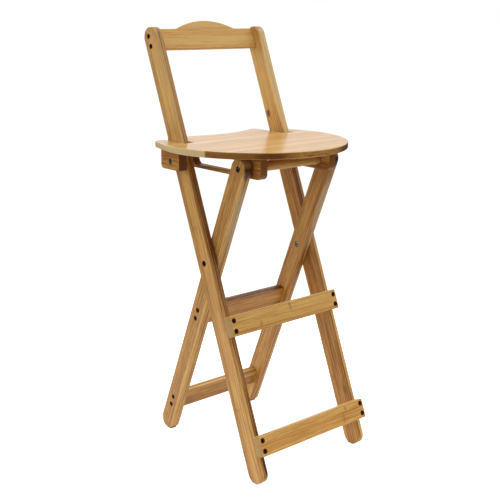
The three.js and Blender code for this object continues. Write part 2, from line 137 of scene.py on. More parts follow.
# A profile carried round a closed outline. Ring j is the outline moved outwards by offsets[j] along its
# mitred normals, at height heights[j]. The mitre is the sum of both edges' normals over one plus their
# dot product, which keeps each edge at the same distance.
def carried(outline, offsets, heights):
    edge = np.roll(outline, -1, axis=0) - outline
    edge = edge / np.linalg.norm(edge, axis=1, keepdims=True)
    normal = np.stack([edge[:, 1], -edge[:, 0]], axis=1)
    earlier = np.roll(normal, 1, axis=0)
    mitre = (normal + earlier) / (1 + np.sum(normal * earlier, axis=1, keepdims=True))
    flat = outline[None] + np.asarray(offsets, float)[:, None, None] * mitre[None]
    height = np.asarray(heights, float)[:, None, None]
    return np.concatenate([flat, np.broadcast_to(height, flat.shape[:2] + (1,))], axis=2)


# The offsets and heights of a board's edge: two quarter rounds, offset ease (sin a - 1) and height
# ease (1 - cos a), with a flat ring inside each.
def boardEdge(thickness, ease):
    a = np.linspace(0, math.pi / 2, stock["easeSteps"] + 1)
    offsets = ease * (np.sin(a) - 1)
    heights = ease * (1 - np.cos(a))
    inner = [-ease - stock["hold"]]
    return (
        np.concatenate([inner, offsets, offsets[::-1], inner]),
        np.concatenate([[0], heights, thickness - heights[::-1], [thickness]]),
    )


# Local millimetres to metres in the stool's frame: origin + x axes[0] + y axes[1] + z axes[2].
def placed(surface, origin, axes):
    return origin + (np.asarray(surface, float) * mm) @ np.asarray(axes)


# A board on one side of the stool, from its inner face outwards, whose outline lies in y and z of a frame
# given by its origin and axes.
def standingBoard(outline, inner, thickness, sign, origin, axes):
    surface = carried(outline, *boardEdge(thickness, stock["ease"]))
    start = min(sign * inner, sign * (inner + thickness))
    return placed(surface + [0, 0, start], origin, [axes[1], axes[2], axes[0]])


# A board whose outline lies in x and z of a frame, from its rear face at y = rear towards the front.
def facingBoard(outline, thickness, rear, origin, axes):
    surface = carried(outline, *boardEdge(thickness, stock["ease"]))
    return placed(surface + [0, 0, -rear], origin, [axes[0], axes[2], -axes[1]])


upright = 0.9  # from this height on, a unit vector counts as upright


# Three axes at right angles whose last one is the direction given.
def axesAlong(direction):
    direction = np.asarray(direction, float)
    helper = rise if abs(direction[2]) < upright else across
    first = np.cross(helper, direction)
    first /= np.linalg.norm(first)
    return np.array([first, np.cross(direction, first), direction])


# One mesh from grids of rings, with its materials. Each grid closes round itself, and its first and last
# rings are filled, unless looped is set: then its last ring joins its first.
def meshOf(name, surfaces, materials, looped=False):
    vertices, faces, start = [], [], 0
    for surface in surfaces:
        rings, around = surface.shape[:2]
        index = start + np.arange(rings * around).reshape(rings, around)
        onward = np.roll(index, -1, axis=0) if looped else index[1:]
        index = index if looped else index[:-1]
        quads = np.stack([index, np.roll(index, -1, 1), np.roll(onward, -1, 1), onward], axis=-1)
        faces += quads.reshape(-1, 4).tolist()
        if not looped:
            faces += [index[0, ::-1].tolist(), onward[-1].tolist()]
        vertices.append(surface.reshape(-1, 3))
        start += rings * around
    mesh = bpy.data.meshes.new(name)
    mesh.from_pydata(np.concatenate(vertices), [], faces)
    for material in materials:
        mesh.materials.append(material)
    return mesh


smoothAngle = math.radians(32)


# Links a piece, shades it smooth up to that angle, and lets it ride on its body in place of its node.
def addPiece(name, mesh, node, body):
    piece = bpy.data.objects.new(name, mesh)
    bpy.context.scene.collection.objects.link(piece)
    mesh.shade_smooth()
    mesh.set_sharp_from_angle(angle=smoothAngle)
    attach(piece, body)
    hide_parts(node)


# The piece's mesh with the holes taken out that reach into its box. Their walls get a dark finish of their
# own, partly painted shade.
def drilled(mesh, holes, wall):
    corners = np.array([vertex.co for vertex in mesh.vertices])
    low, high = corners.min(0), corners.max(0)
    near = [hole for hole in holes
            if np.all(hole.min((0, 1)) < high) and np.all(hole.max((0, 1)) > low)]
    if not near:
        return mesh
    piece = bpy.data.objects.new("blank", mesh)
    tool = bpy.data.objects.new("drill", meshOf("drill", near, [wall]))
    for item in (piece, tool):
        bpy.context.scene.collection.objects.link(item)
    cut = piece.modifiers.new("holes", "BOOLEAN")
    cut.object = tool
    cut.solver = "EXACT"
    cut.material_mode = "TRANSFER"
    graph = bpy.context.evaluated_depsgraph_get()
    result = bpy.data.meshes.new_from_object(piece.evaluated_get(graph))
    result.name = mesh.name
    for item in (piece, tool):
        bpy.data.objects.remove(item)
    return result


# An sRGB hex colour as linear red, green, blue and alpha.
def linear(hexColour):
    channels = np.array([int(hexColour[i : i + 2], 16) for i in (0, 2, 4)]) / 255
    straight = np.where(channels <= 0.04045, channels / 12.92, ((channels + 0.055) / 1.055) ** 2.4)
    return (*straight.tolist(), 1.0)


# Adds a node with its settings. An input takes a value, or a link from another node or socket.
def addNode(tree, kind, inputs, **settings):
    node = tree.nodes.new("ShaderNode" + kind)
    for name, value in settings.items():
        setattr(node, name, value)
    for name, value in inputs.items():
        if isinstance(value, bpy.types.Node):
            tree.links.new(value.outputs[0], node.inputs[name])
        elif isinstance(value, bpy.types.NodeSocket):
            tree.links.new(value, node.inputs[name])
        else:
            node.inputs[name].default_value = value
    return node


# Adds a node that works out a number, or a vector, from its inputs in their order.
def addMath(tree, operation, *inputs, kind="Math"):
    return addNode(tree, kind, dict(enumerate(inputs)), operation=operation)


# Adds a node that maps the stretch from low to high onto the one from start to end, and stops at its ends.
def addRange(tree, value, low, high, start, end, **settings):
    stretch = {"From Min": low, "From Max": high, "To Min": start, "To Max": end}
    return addNode(tree, "MapRange", {"Value": value, **stretch}, **settings)


# Gives a colour ramp its stops, as [position, value or hex colour] in rising order.
def setStops(ramp, stops):
    elements = ramp.color_ramp.elements
    while len(elements) < len(stops):
        elements.new(1)
    for element, (position, tone) in zip(elements, stops):
        element.position = position
        element.color = linear(tone) if isinstance(tone, str) else (tone, tone, tone, 1)
    return ramp


# A new material and its node tree, empty as yet.
def newMaterial(name):
    material = bpy.data.materials.new(name)
    material.use_nodes = True
    material.node_tree.nodes.clear()
    return material, material.node_tree


noiseLow, noiseMiddle, noiseHigh = 0.3, 0.5, 0.7  # nearly all of a noise lies between the outer two
reliefDepth = 0.1 * mm
layerCount = 3

# Laminated bamboo, planed, sanded and lacquered: strips side by side in three layers, each strip with a
# tone of its own, long fibres, a knuckle here and there, and speckled end grain under a satin clear coat.
bambooFinish = {
    "layer": 7,  # thickness of one layer
    "layerStart": 0.5,  # where the board's middle lies in the layers, as a share of their thickness
    "strip": 22,  # width of one strip
    "stagger": 0.31,  # shift of the strips from layer to layer, as a share of their width
    "shift": 0.37,  # of the strips on the board, as a share of their width
    "layerSeam": [1.3, 0.4],  # width and depth in tone of the glue lines between layers and between strips,
    "stripSeam": [0.6, 0.14],  # drawn coarser than the real 0.1 mm so that they show
    "streakWidth": 3.4,  # broad streaks in a strip
    "streakLength": 130,
    "fibreWidth": 1.1,  # bundles of fibres
    "fibreLength": 26,
    "detail": 2.0,  # of the noise that draws both, and how strongly its finer steps show
    "breakUp": 0.6,
    "stripJump": 91.0,  # how far the noise may jump from one strip to the next
    "poreWidth": 0.9,  # bundle ends on the end grain, coarser than the real 0.4 mm so that they show
    "swerve": 1.6,  # how far the fibres wander sideways
    "swerveLength": 160,
    "swerveWidth": 50,
    "swerveDetail": 1.0,
    "stripSpread": 0.22,  # how much the tone varies by strip, streak and fibre
    "streakSpread": 0.85,
    "fibreSpread": 0.55,
    "ramp": [[0.0, "562b08"], [0.3, "a16e33"], [0.55, "c8984d"], [0.8, "dfb468"], [1.0, "ecc880"]],
    "rose": "f4cfb4",
    "rosiness": 0.32,
    "endLight": "b48d50",
    "endDark": "7f5a2a",
    "poreDark": 0.2,  # a bundle end is darkest within this, and over beyond the next, as shares of its width
    "poreLight": 0.6,
    "endFrom": 0.4,  # how squarely a face must cross the fibres to begin, and to be all, end grain
    "endTo": 0.8,
    "ior": 1.3,
    "roughness": 0.42,
    "glossSpread": [-0.06, 0.08],  # how much smoother and rougher it gets
    "relief": 0.25,
    "coat": 0.08,
    "coatRoughness": 0.22,
}

markRim = {
    "patch": 6.25,  # grain of the noise that breaks up a mark's rim
    "detail": 2.0,
    "stray": [9, 2.4, 2.4],  # how far it moves the rim along, across and through the board
}


# Lays marks, such as knuckles and knots, and pale or dark stretches, some of them painted light and shade,
# over a colour or a tone. Each is an
# ellipsoid [middle, sizes, core, strength, paint] in the board's own coordinates. It is full within its
# core, a share of its size, and fades outwards to nothing. Its paint is a colour, or an amount to add.
def addMarks(tree, local, ground, marks):
    if not marks:
        return ground
    rough = addNode(tree, "TexNoise",
                    {"Vector": local, "Scale": 1 / markRim["patch"], "Detail": markRim["detail"]})
    stray = np.array(markRim["stray"])
    jitter = addMath(tree, "MULTIPLY_ADD", rough.outputs["Color"], tuple(stray), local, kind="VectorMath")
    for where, size, core, strength, paint in marks:
        spot = addNode(tree, "Mapping",
                       {"Vector": jitter, "Location": tuple(where + stray / 2), "Scale": tuple(size)},
                       vector_type="TEXTURE")
        reach = addMath(tree, "LENGTH", spot, kind="VectorMath")
        mark = addRange(tree, reach.outputs["Value"], core, 1.0, strength, 0.0,
                        interpolation_type="SMOOTHSTEP")
        if isinstance(paint, str):
            ground = addNode(tree, "Mix", {0: mark, 6: ground, 7: linear(paint)},
                             data_type="RGBA").outputs[2]
        else:
            ground = addMath(tree, "MULTIPLY_ADD", mark, paint, ground).outputs[0]
    return ground


# The material of one board. Its own coordinates run along the grain, across the strips and through the
# layers, and come from the object's by the middle and the axes of the board.
def bambooMaterial(name, board):
    look = {**bambooFinish, **board.get("look", {})}
    material, tree = newMaterial("laminatedBamboo_" + name)
    grain, strips = np.asarray(board["grain"], float), np.asarray(board["strips"], float)
    turn = Matrix(np.array([grain, strips, np.cross(grain, strips)]).T.tolist()).to_euler()
    coordinates = addNode(tree, "TexCoord", {})
    place = {"Vector": coordinates.outputs["Object"], "Location": tuple(board["middle"]), "Rotation": turn}
    local = addNode(tree, "Mapping", {**place, "Scale": (mm, mm, mm)}, vector_type="TEXTURE")

    # Fibres swerve: a slow noise along the grain moves the pattern sideways.
    pace = (1 / look["swerveLength"], 1 / look["swerveWidth"], 1 / look["swerveWidth"])
    slow = addMath(tree, "MULTIPLY", local, pace, kind="VectorMath")
    swerve = addNode(tree, "TexNoise", {"Vector": slow, "Scale": 1.0, "Detail": look["swerveDetail"]})
    swing = addMath(tree, "SUBTRACT", swerve.outputs["Color"], (noiseMiddle,) * 3, kind="VectorMath")
    swung = addMath(tree, "MULTIPLY_ADD", swing, (0, 2 * look["swerve"], 2 * look["swerve"]), local,
                    kind="VectorMath")
    along = addNode(tree, "SeparateXYZ", {"Vector": local})

    # Which layer and strip a point is in, and a random tone for each.
    layer = addMath(tree, "MULTIPLY_ADD", along.outputs["Z"], 1 / look["layer"], look["layerStart"])
    layerFloor = addMath(tree, "FLOOR", layer)
    layerIndex = addNode(tree, "Clamp", {"Value": layerFloor, "Min": -1.0, "Max": 1.0})
    shifted = addMath(tree, "MULTIPLY_ADD", layerIndex, look["stagger"], look["shift"])
    strip = addMath(tree, "MULTIPLY_ADD", along.outputs["Y"], 1 / look["strip"], shifted)
    stripIndex = addMath(tree, "FLOOR", strip)
    which = addNode(tree, "CombineXYZ", {"X": layerIndex, "Y": stripIndex, "Z": board["seed"]})
    chance = addNode(tree, "TexWhiteNoise", {"Vector": which}, noise_dimensions="3D")
    spread = addNode(tree, "VectorMath", {0: chance.outputs["Color"], "Scale": look["stripJump"]},
                     operation="SCALE")

    # Streaks and fibres, drawn long along the grain and different in each strip.
    tones = []
    for kind in ("streak", "fibre"):
        width, length = look[kind + "Width"], look[kind + "Length"]
        stretched = addMath(tree, "MULTIPLY_ADD", swung, (1 / length, 1 / width, 1 / width), spread,
                            kind="VectorMath")
        tones.append(addNode(tree, "TexNoise",
                             {"Vector": stretched, "Scale": 1.0, "Detail": look["detail"],
                              "Roughness": look["breakUp"]}))
    streaks, fibres = tones

    # Tone of a point: that of its layer, its strip, the streaks and the fibres, less the glue lines.
    layerShare = addMath(tree, "MULTIPLY_ADD", layer, 1 / layerCount, 1 / layerCount)
    layerTone = setStops(addNode(tree, "ValToRGB", {"Fac": layerShare}),
                         [[i / layerCount, tone] for i, tone in enumerate(board["layers"])])
    layerTone.color_ramp.interpolation = "CONSTANT"
    tone = layerTone.outputs["Color"]
    for source, share in (
        (chance.outputs["Value"], look["stripSpread"]),
        (streaks.outputs["Fac"], look["streakSpread"]),
        (fibres.outputs["Fac"], look["fibreSpread"]),
    ):
        level = addMath(tree, "SUBTRACT", source, noiseMiddle)
        tone = addMath(tree, "MULTIPLY_ADD", level, share, tone)
    # Glue lines lie where the count of layers is 0 or 1, and where that of strips is whole.
    fromMiddle = addMath(tree, "SUBTRACT", layer, 0.5)
    fromCentre = addMath(tree, "ABSOLUTE", fromMiddle)
    fromLayer = addMath(tree, "SUBTRACT", fromCentre, 0.5)
    toLayer = addMath(tree, "ABSOLUTE", fromLayer)
    toStrip = addMath(tree, "PINGPONG", strip, 0.5)
    for distance, pitch, (width, depth) in ((toLayer, look["layer"], look["layerSeam"]),
                                            (toStrip, look["strip"], look["stripSeam"])):
        seam = addRange(tree, distance, 0.0, width / pitch, -depth, 0.0, interpolation_type="SMOOTHSTEP")
        tone = addMath(tree, "ADD", tone, seam)
    tone = addMarks(tree, local, tone, board.get("toneMarks", []))
    colour = setStops(addNode(tree, "ValToRGB", {"Fac": tone}), look["ramp"])
    hues = addNode(tree, "SeparateColor", {"Color": chance.outputs["Color"]})
    rosy = addMath(tree, "MULTIPLY", hues.outputs["Green"], look["rosiness"])
    # A mix of colours has its inputs at 0, 6 and 7 and its result at 2.
    tinted = addNode(tree, "Mix", {0: rosy, 6: colour.outputs["Color"], 7: linear(look["rose"])},
                     data_type="RGBA", blend_type="MULTIPLY")

    # End grain, where the surface faces along the fibres: a greyer ground with dark bundle ends.
    facing = addMath(tree, "DOT_PRODUCT", coordinates.outputs["Normal"], tuple(grain), kind="VectorMath")
    faced = addMath(tree, "ABSOLUTE", facing.outputs["Value"])
    endShare = addRange(tree, faced, look["endFrom"], look["endTo"], 0.0, 1.0,
                        interpolation_type="SMOOTHSTEP")
    pores = addNode(tree, "TexVoronoi", {"Vector": local, "Scale": 1 / look["poreWidth"]})
    bundles = setStops(addNode(tree, "ValToRGB", {"Fac": pores.outputs["Distance"]}),
                       [[look["poreDark"], look["endDark"]], [look["poreLight"], look["endLight"]]])
    ends = addMarks(tree, local, bundles.outputs["Color"], board.get("endMarks", []))
    ended = addNode(tree, "Mix", {0: endShare, 6: tinted.outputs[2], 7: ends}, data_type="RGBA")
    wood = addMarks(tree, local, ended.outputs[2], board.get("marks", []))

    # Fibres stand a few hundredths of a millimetre proud, and the lacquer dulls a little over them.
    smoother, rougher = look["glossSpread"]
    sheen = addRange(tree, fibres.outputs["Fac"], noiseLow, noiseHigh,
                     look["roughness"] + smoother, look["roughness"] + rougher)
    relief = addNode(tree, "Bump",
                     {"Height": fibres.outputs["Fac"], "Strength": look["relief"], "Distance": reliefDepth})
    shader = addNode(tree, "BsdfPrincipled",
                     {"Base Color": wood, "Roughness": sheen, "Normal": relief,
                      "Coat Weight": look["coat"], "Coat Roughness": look["coatRoughness"],
                      "IOR": look["ior"]})
    addNode(tree, "OutputMaterial", {"Surface": shader})
    return material


plainFinish = {"detail": 3.0, "glossSpread": 0.06, "metallic": 0.0, "specular": 0.5}


# Metals, nylon and rubber: a noise shades the colour from dark to light, in rougher and smoother patches.
def plainMaterial(name, own):
    look = {**plainFinish, **own}
    material, tree = newMaterial(name)
    coordinates = addNode(tree, "TexCoord", {})
    clouds = addNode(tree, "TexNoise",
                     {"Vector": coordinates.outputs["Object"], "Scale": 1 / (look["patch"] * mm),
                      "Detail": look["detail"]})
    colour = setStops(addNode(tree, "ValToRGB", {"Fac": clouds.outputs["Fac"]}),
                      [[noiseLow, look["dark"]], [noiseHigh, look["light"]]])
    gloss = addRange(tree, clouds.outputs["Fac"], noiseLow, noiseHigh,
                     look["roughness"] - look["glossSpread"], look["roughness"] + look["glossSpread"])
    relief = addNode(tree, "Bump",
                     {"Height": clouds.outputs["Fac"], "Strength": look["relief"], "Distance": reliefDepth})
    shader = addNode(tree, "BsdfPrincipled",
                     {"Base Color": colour.outputs["Color"], "Roughness": gloss, "Normal": relief,
                      "Metallic": look["metallic"], "Specular IOR Level": look["specular"]})
    addNode(tree, "OutputMaterial", {"Surface": shader})
    return material


# Black oxide on steel, oiled: nearly black, half matt, brown where it is thin, and hardly shining.
blackOxide = plainMaterial("blackOxideSteel", {
    "dark": "2e1204", "light": "4c250d", "patch": 1.5, "roughness": 0.65, "relief": 0.2,
    "metallic": 0.3, "specular": 0.08,
})
# Bamboo where a drill went through: scorched and soaked with lacquer, and painted darker still for the shade
# deep in a bore, so dark brown.
boredShadedWood = plainMaterial("boredShadedBamboo", {
    "dark": "2a1206", "light": "55301a", "patch": 1.2, "roughness": 0.55, "relief": 0.4, "specular": 0.2,
})
# Zinc plating, passivated: pale grey with a cast of green and yellow.
zincPlate = plainMaterial("zincPlatedSteel", {
    "dark": "8f948a", "light": "c3c6b4", "patch": 2.0, "roughness": 0.32, "relief": 0.1, "metallic": 1.0,
})
# Inside a socket: almost black and matt, painted shade for its depth.
shadedSocket = plainMaterial("shadedSocketSteel", {
    "dark": "120a06", "light": "22150d", "patch": 1.2, "roughness": 0.7, "relief": 0.2, "specular": 0.1,
})
# Moulded nylon: milky and slightly waxy.
nylon = plainMaterial("mouldedNylon", {
    "dark": "cfc8b8", "light": "ded8c9", "patch": 3.0, "roughness": 0.5, "relief": 0.1,
})
# Cut rubber sheet: matt black with a fine grain.
rubber = plainMaterial("cutRubber", {
    "dark": "080706", "light": "14110e", "patch": 0.6, "roughness": 0.92, "relief": 0.6,
})
darkSteel = ("dark_steel", blackOxide)
paleSteel = ("bright_steel", zincPlate)
print("plain finishes made")


# Radii of the screws and bolts, unless the name says another measure.
fasteners = {
    "sides": 24,
    "flats": 6,  # round a socket
    "screwHead": 4.7,
    "screwHeadHeight": 3.5,
    "screwShank": 2.4,
    "screwSink": 1,
    "screwBore": 5.3,
    "screwTip": 5,  # length of the tip
    "screwPoint": 0.2,
    "threadPitch": 2.8,
    "threadSteps": 5,  # rings in one turn of the thread
    "threadDepth": 0.55,
    "threadStop": 2,  # plain stretch under the head
    "screwSocket": [2.0, 2.2],  # half across the flats, and depth
    "boltHead": 5.2,
    "boltHeadHeight": 4,
    "boltSink": 1,
    "boltBore": 6.3,
    "boltShank": 3,
    "boltSocket": [2.5, 2.6],
    "dowelSink": 3,  # of a dowel bolt's head in its leg
    "dowelBite": 40,  # how far that bolt goes into the dowel
    "headEase": 0.6,
    "edgeEase": 0.3,  # of sleeve nuts and washers
    "sleeve": 4.3,
    "sleeveLength": 14,
    "sleeveFlange": 6,
    "sleeveFlangeHeight": 1.6,
    "sleeveFloor": 1.5,
    "sleeveSink": 1,
    "sleeveBore": 7.4,  # recess that the flange lies in
    "sleeveOverrun": 1,  # how far it is cut past the face
    "sleeveSocket": [2.5, 1.0],
    "washer": 9,
    "rimEase": 0.9,  # countersink at the mouth of every bore
}


# A turned piece with a six-sided socket in its top. Ring j has radius profile[j, 0] at height profile[j, 1].
# On a thread the radius falls by its depth times |2 frac(height / pitch - turn) - 1|. The socket's radius
# is half across the flats over the cosine of the angle from the middle of the nearest flat.
def turnedPiece(profile, socket, threaded=None):
    profile = np.array(profile, float)
    turn = np.arange(fasteners["sides"]) / fasteners["sides"]
    radius = np.repeat(profile[:, :1], len(turn), axis=1)
    height = np.repeat(profile[:, 1:], len(turn), axis=1)
    if threaded:
        phase = np.mod(height / fasteners["threadPitch"] - turn, 1)
        cut = fasteners["threadDepth"] * np.abs(2 * phase - 1)
        radius = radius - cut * ((height > threaded[0]) & (height < threaded[1]))
    flats = fasteners["flats"]
    fromFlat = np.mod(turn * flats, 1) / flats * 2 * math.pi - math.pi / flats
    hexagon = socket[0] / np.cos(fromFlat)
    top = profile[-1, 1]
    radius = np.concatenate([radius, [hexagon, hexagon]])
    height = np.concatenate([height, np.full((1, len(turn)), top), np.full((1, len(turn)), top - socket[1])])
    a = turn * 2 * math.pi
    return np.stack([radius * np.cos(a), radius * np.sin(a), height], axis=2)


# A screw whose hole opens at height 0: tip, threaded shank, and a head that lies sunk in the bore.
def screwPiece(length, sink):
    head, shank, ease = fasteners["screwHead"], fasteners["screwShank"], fasteners["headEase"]
    start, under = -sink - length, -sink - fasteners["screwHeadHeight"]
    pitch = fasteners["threadPitch"] / fasteners["threadSteps"]
    heights = np.arange(start + fasteners["screwTip"], under, pitch)
    shaft = np.stack([np.full(len(heights), shank), heights], axis=1)
    profile = [[fasteners["screwPoint"], start], *shaft, [shank, under], [head, under],
               [head, -sink - ease], [head - ease, -sink]]
    thread = [start + fasteners["screwTip"] / 2, under - fasteners["threadStop"]]
    return turnedPiece(profile, fasteners["screwSocket"], thread)


# The hole of a screw: shank, head bore and a small countersink at its mouth.
def screwHole(length, sink):
    bore, shank, ease = fasteners["screwBore"], fasteners["screwShank"] + stock["fit"], fasteners["rimEase"]
    floor = -sink - fasteners["screwHeadHeight"] - stock["fit"]
    heights = [-sink - length - stock["fit"], floor, floor, -ease, stock["overrun"]]
    offsets = [shank - bore, shank - bore, 0, 0, stock["overrun"] + ease]
    return carried(circle(bore), offsets, heights)


# A stepped hole from [radius, height] steps, with a small countersink where it opens in the last face.
def steppedHole(steps, face):
    radii, heights = np.array(steps, float).T
    last = radii[-1]
    ease = fasteners["rimEase"]
    return carried(
        circle(last),
        [*(radii - last), 0, stock["overrun"] + ease],
        [*heights, face - ease, face + stock["overrun"]],
    )


# A socket-head bolt from its end to the top of its head.
def boltPiece(end, top):
    head, tall = fasteners["boltHead"], fasteners["boltHeadHeight"]
    shank, ease = fasteners["boltShank"], fasteners["headEase"]
    profile = [[shank - ease, end], [shank, end + ease], [shank, top - tall], [head, top - tall],
               [head, top - ease], [head - ease, top]]
    return turnedPiece(profile, fasteners["boltSocket"])


# The last steps of a bolt's hole: the bore of its shank from a height on, then the one of its sunk head.
def boltBores(start, top):
    shank = fasteners["boltShank"] + stock["fit"]
    floor = top - fasteners["boltHeadHeight"] - stock["fit"]
    return [[shank, start], [shank, floor], [fasteners["boltBore"], floor]]


steelPieces = []  # node, surface, body, and the slot with its material
washers = []  # node and surface
holes = {"long": [], "short": [], "seat": []}
bodies = {"long": "long_frame", "short": "short_frame", "seat": "seat"}
frames = {"long": (crossing, longAxes), "short": (crossing, shortAxes), "seat": (seatOrigin, seatAxes)}
dowelSpot = placed([0, 0, pivotArm], crossing, shortAxes)


# A screw at a place on a face of one of the three frames, its head towards the local direction given.
def addScrew(node, group, place, outward, length, sink=fasteners["screwSink"]):
    origin, axes = frames[group]
    spot = placed(place, origin, axes)
    turned = axesAlong(np.array(outward, float) @ axes)
    holes[group].append(placed(screwHole(length, sink), spot, turned))
    steelPieces.append((node, placed(screwPiece(length, sink), spot, turned), bodies[group], darkSteel))


railSizes = {
    "midHeight": {"front": 48, "rear": 50},
    "lowHeight": {"front": 46, "rear": 46},
    "rungCorner": 3,  # radius in the plane of the frame
    "frontRung": 24,  # thickness of a front rung
    "midDrop": {"front": 132, "rear": 133.9},  # upper edge below the crossing
    "lowDrop": {"front": 412.2, "rear": 412.2},
    "rearSetback": 2.5,  # middle of a rear rung behind the middle of the short legs
    "midScrews": 143.8,  # upper screw below the crossing
    "lowScrews": 422.1,
    "screwPitch": 24.4,
    "screwInset": 9.3,  # from the end of a front rung
    "frontBite": 25,  # how far a screw goes into the wood behind, or into a rail's end
    "endBite": 30,
    "crestThickness": 13,
    "crestHeight": 50,
    "crestBelowHead": 30.5,  # its lower edge below the middle of the posts' rounds
    "crestSetback": 21.2,  # of its front behind the front of the posts
    "crestScrewRise": 9.5,
    "archRise": 20,
    "archHalfSpan": 90,
    "archFoot": 12,  # radius of the hollow beside it
    "archSteps": 60,
    "footSteps": 10,
}
frontRungBack = -stock["legHalf"] - stock["fit"]
frontRungFace = frontRungBack - railSizes["frontRung"]
crestFront = railSizes["crestSetback"] - stock["legHalf"]
crestMiddle = crestFront + railSizes["crestThickness"] / 2
crestRear = crestFront + railSizes["crestThickness"]
crestBottom = stock["headArm"] - railSizes["crestBelowHead"]
carriers = {
    "dowel": 12,  # radius
    "dowelEase": 0.8,
    "dowelSteps": 64,
    "slot": 13.7,  # radius of the slots' ends
    "slotBelow": 1.4,  # middle of the slots below the pivots
    "slotRear": 3.7,  # behind the dowel when the stool is folded
    "slotFloor": 8,  # wood below a slot, in front of it and behind it
    "nose": 28.3,
    "tail": 20.3,
    "noseCorner": 12,
    "top": 27.2,  # upper edge above the pivots
    "blockFront": 32.4,  # a block's reach in front of its pivot, behind it and below it
    "blockRear": 38.1,
    "blockDepth": 20,
    "blockCorner": 10,
    "corner": 3,
    "screwSink": 12,
    "bearerInset": 12,  # a screw from the end of a bearer, and from the front of a block
    "blockInset": 15,
    "seatBite": 10,  # how far it goes into the seat
    "slotEase": 0.8,
    "slotSteps": 32,
}
pivotSetback = pivotArm * math.sin(lean)
bearerBottom = -carriers["slotBelow"] - carriers["slot"] - carriers["slotFloor"]
bearerFront = -pivotSetback - carriers["slot"] - carriers["nose"]
slotEnd = pivotSetback + carriers["slotRear"]
bearerRear = slotEnd + carriers["slot"] + carriers["tail"]
blockFront = pivotSetback - carriers["blockFront"]
blockRear = pivotSetback + carriers["blockRear"]


# A bolt across two boards with its head sunk in the outer face, its sleeve nut sunk in the inner one and a
# washer between them. The faces are heights from the stool's middle, outwards on the side of the sign.
def addPivot(node, sign, spot, innerFace, gapStart, outerFace, groups):
    origin, turned = np.array([0, *spot[1:]]), axesAlong([sign, 0, 0])
    fit, bore = stock["fit"], fasteners["boltShank"] + stock["fit"]
    nutFace, top = innerFace + fasteners["sleeveSink"], outerFace - fasteners["boltSink"]
    seat, barrel = fasteners["sleeveBore"], fasteners["sleeve"] + fit
    shoulder = nutFace + fasteners["sleeveFlangeHeight"] + fit
    deep = nutFace + fasteners["sleeveLength"] + fit
    steps = [[seat, innerFace - fasteners["sleeveOverrun"]], [seat, shoulder], [barrel, shoulder],
             [barrel, deep], *boltBores(deep, top)]
    for group in groups:
        holes[group].append(placed(steppedHole(steps, outerFace), origin, turned))
    bolt = placed(boltPiece(nutFace + fasteners["sleeveFloor"] + fit, top), origin, turned)
    finish = paleSteel if "seat" in groups else darkSteel
    steelPieces.append((node + "_bolt", bolt, "long_frame", finish))

    # The sleeve nut faces inwards, so its heights run from the flange's face down into the wood.
    sleeve, flange, ease = fasteners["sleeve"], fasteners["sleeveFlange"], fasteners["edgeEase"]
    under, end = -fasteners["sleeveFlangeHeight"], -fasteners["sleeveLength"]
    profile = [[bore, -fasteners["sleeveFloor"]], [bore, end], [sleeve, end], [sleeve, under],
               [flange, under], [flange, -ease], [flange - ease, 0]]
    nutPlace = origin + np.array([sign * nutFace * mm, 0, 0])
    nut = placed(turnedPiece(profile, fasteners["sleeveSocket"]), nutPlace, axesAlong([-sign, 0, 0]))
    steelPieces.append((node + "_sleeve_nut", nut, "long_frame", paleSteel))

    # The washer's section is carried round the bolt and closes on itself.
    low, high, rim = gapStart + fit, gapStart + stock["gap"] - fit, fasteners["washer"]
    section = [[bore, high], [bore, low], [rim - ease, low], [rim, low + ease], [rim, high - ease],
               [rim - ease, high]]
    offsets, heights = (np.array(section) - [rim, 0]).T
    washers.append((node + "_washer", placed(carried(circle(rim), offsets, heights), origin, turned)))


frontLength = railSizes["frontRung"] - fasteners["screwSink"] + railSizes["frontBite"]
endLength = stock["thickness"] - fasteners["screwSink"] + railSizes["endBite"]
for side, sign in bothSides:
    for level in ("mid", "low"):
        for row, fall in (("upper", 0), ("lower", railSizes["screwPitch"])):
            height = -railSizes[level + "Screws"] - fall
            place = [sign * (stock["outer"] - railSizes["screwInset"]), frontRungFace, height]
            addScrew(f"{side}_front_{level}_{row}_screw", "long", place, [0, -1, 0], frontLength)
            place = [sign * shortOuter, railSizes["rearSetback"], height]
            addScrew(f"{side}_rear_{level}_{row}_screw", "short", place, [sign, 0, 0], endLength)
    for row, climb in (("lower", 0), ("upper", railSizes["screwPitch"])):
        place = [sign * stock["outer"], crestMiddle, crestBottom + railSizes["crestScrewRise"] + climb]
        addScrew(f"{side}_crest_{row}_screw", "long", place, [sign, 0, 0], endLength)
    bearerX = sign * (bearerInner + stock["thickness"] / 2)
    blockX = sign * (blockInner + stock["blockThickness"] / 2)
    for carrier, x, y, z in (
        ("bearer_front", bearerX, bearerFront + carriers["bearerInset"], bearerBottom),
        ("bearer_rear", bearerX, bearerRear - carriers["bearerInset"], bearerBottom),
        ("block", blockX, blockFront + carriers["blockInset"], -carriers["blockDepth"]),
    ):
        length = carriers["top"] - z - carriers["screwSink"] + carriers["seatBite"]
        addScrew(f"{side}_{carrier}_screw", "seat", [x, y, z], [0, 0, -1], length, carriers["screwSink"])
    addPivot(f"{side}_crossing", sign, crossing, shortInner, shortOuter, stock["outer"], ["long", "short"])
    addPivot(f"{side}_seat_pivot", sign, seatPivot, longInner, stock["outer"], blockOuter, ["long", "seat"])

    # The bolt through the top of a short leg into the dowel.
    top, end = shortOuter - fasteners["dowelSink"], shortInner - fasteners["dowelBite"]
    turned = axesAlong([sign, 0, 0])
    bolt = placed(boltPiece(end, top), dowelSpot, turned)
    steelPieces.append((f"{side}_dowel_bolt", bolt, "short_frame", paleSteel))
    bores = boltBores(end - stock["fit"], top)
    holes["short"].append(placed(steppedHole(bores, shortOuter), dowelSpot, turned))
print("fasteners worked out:", len(steelPieces))


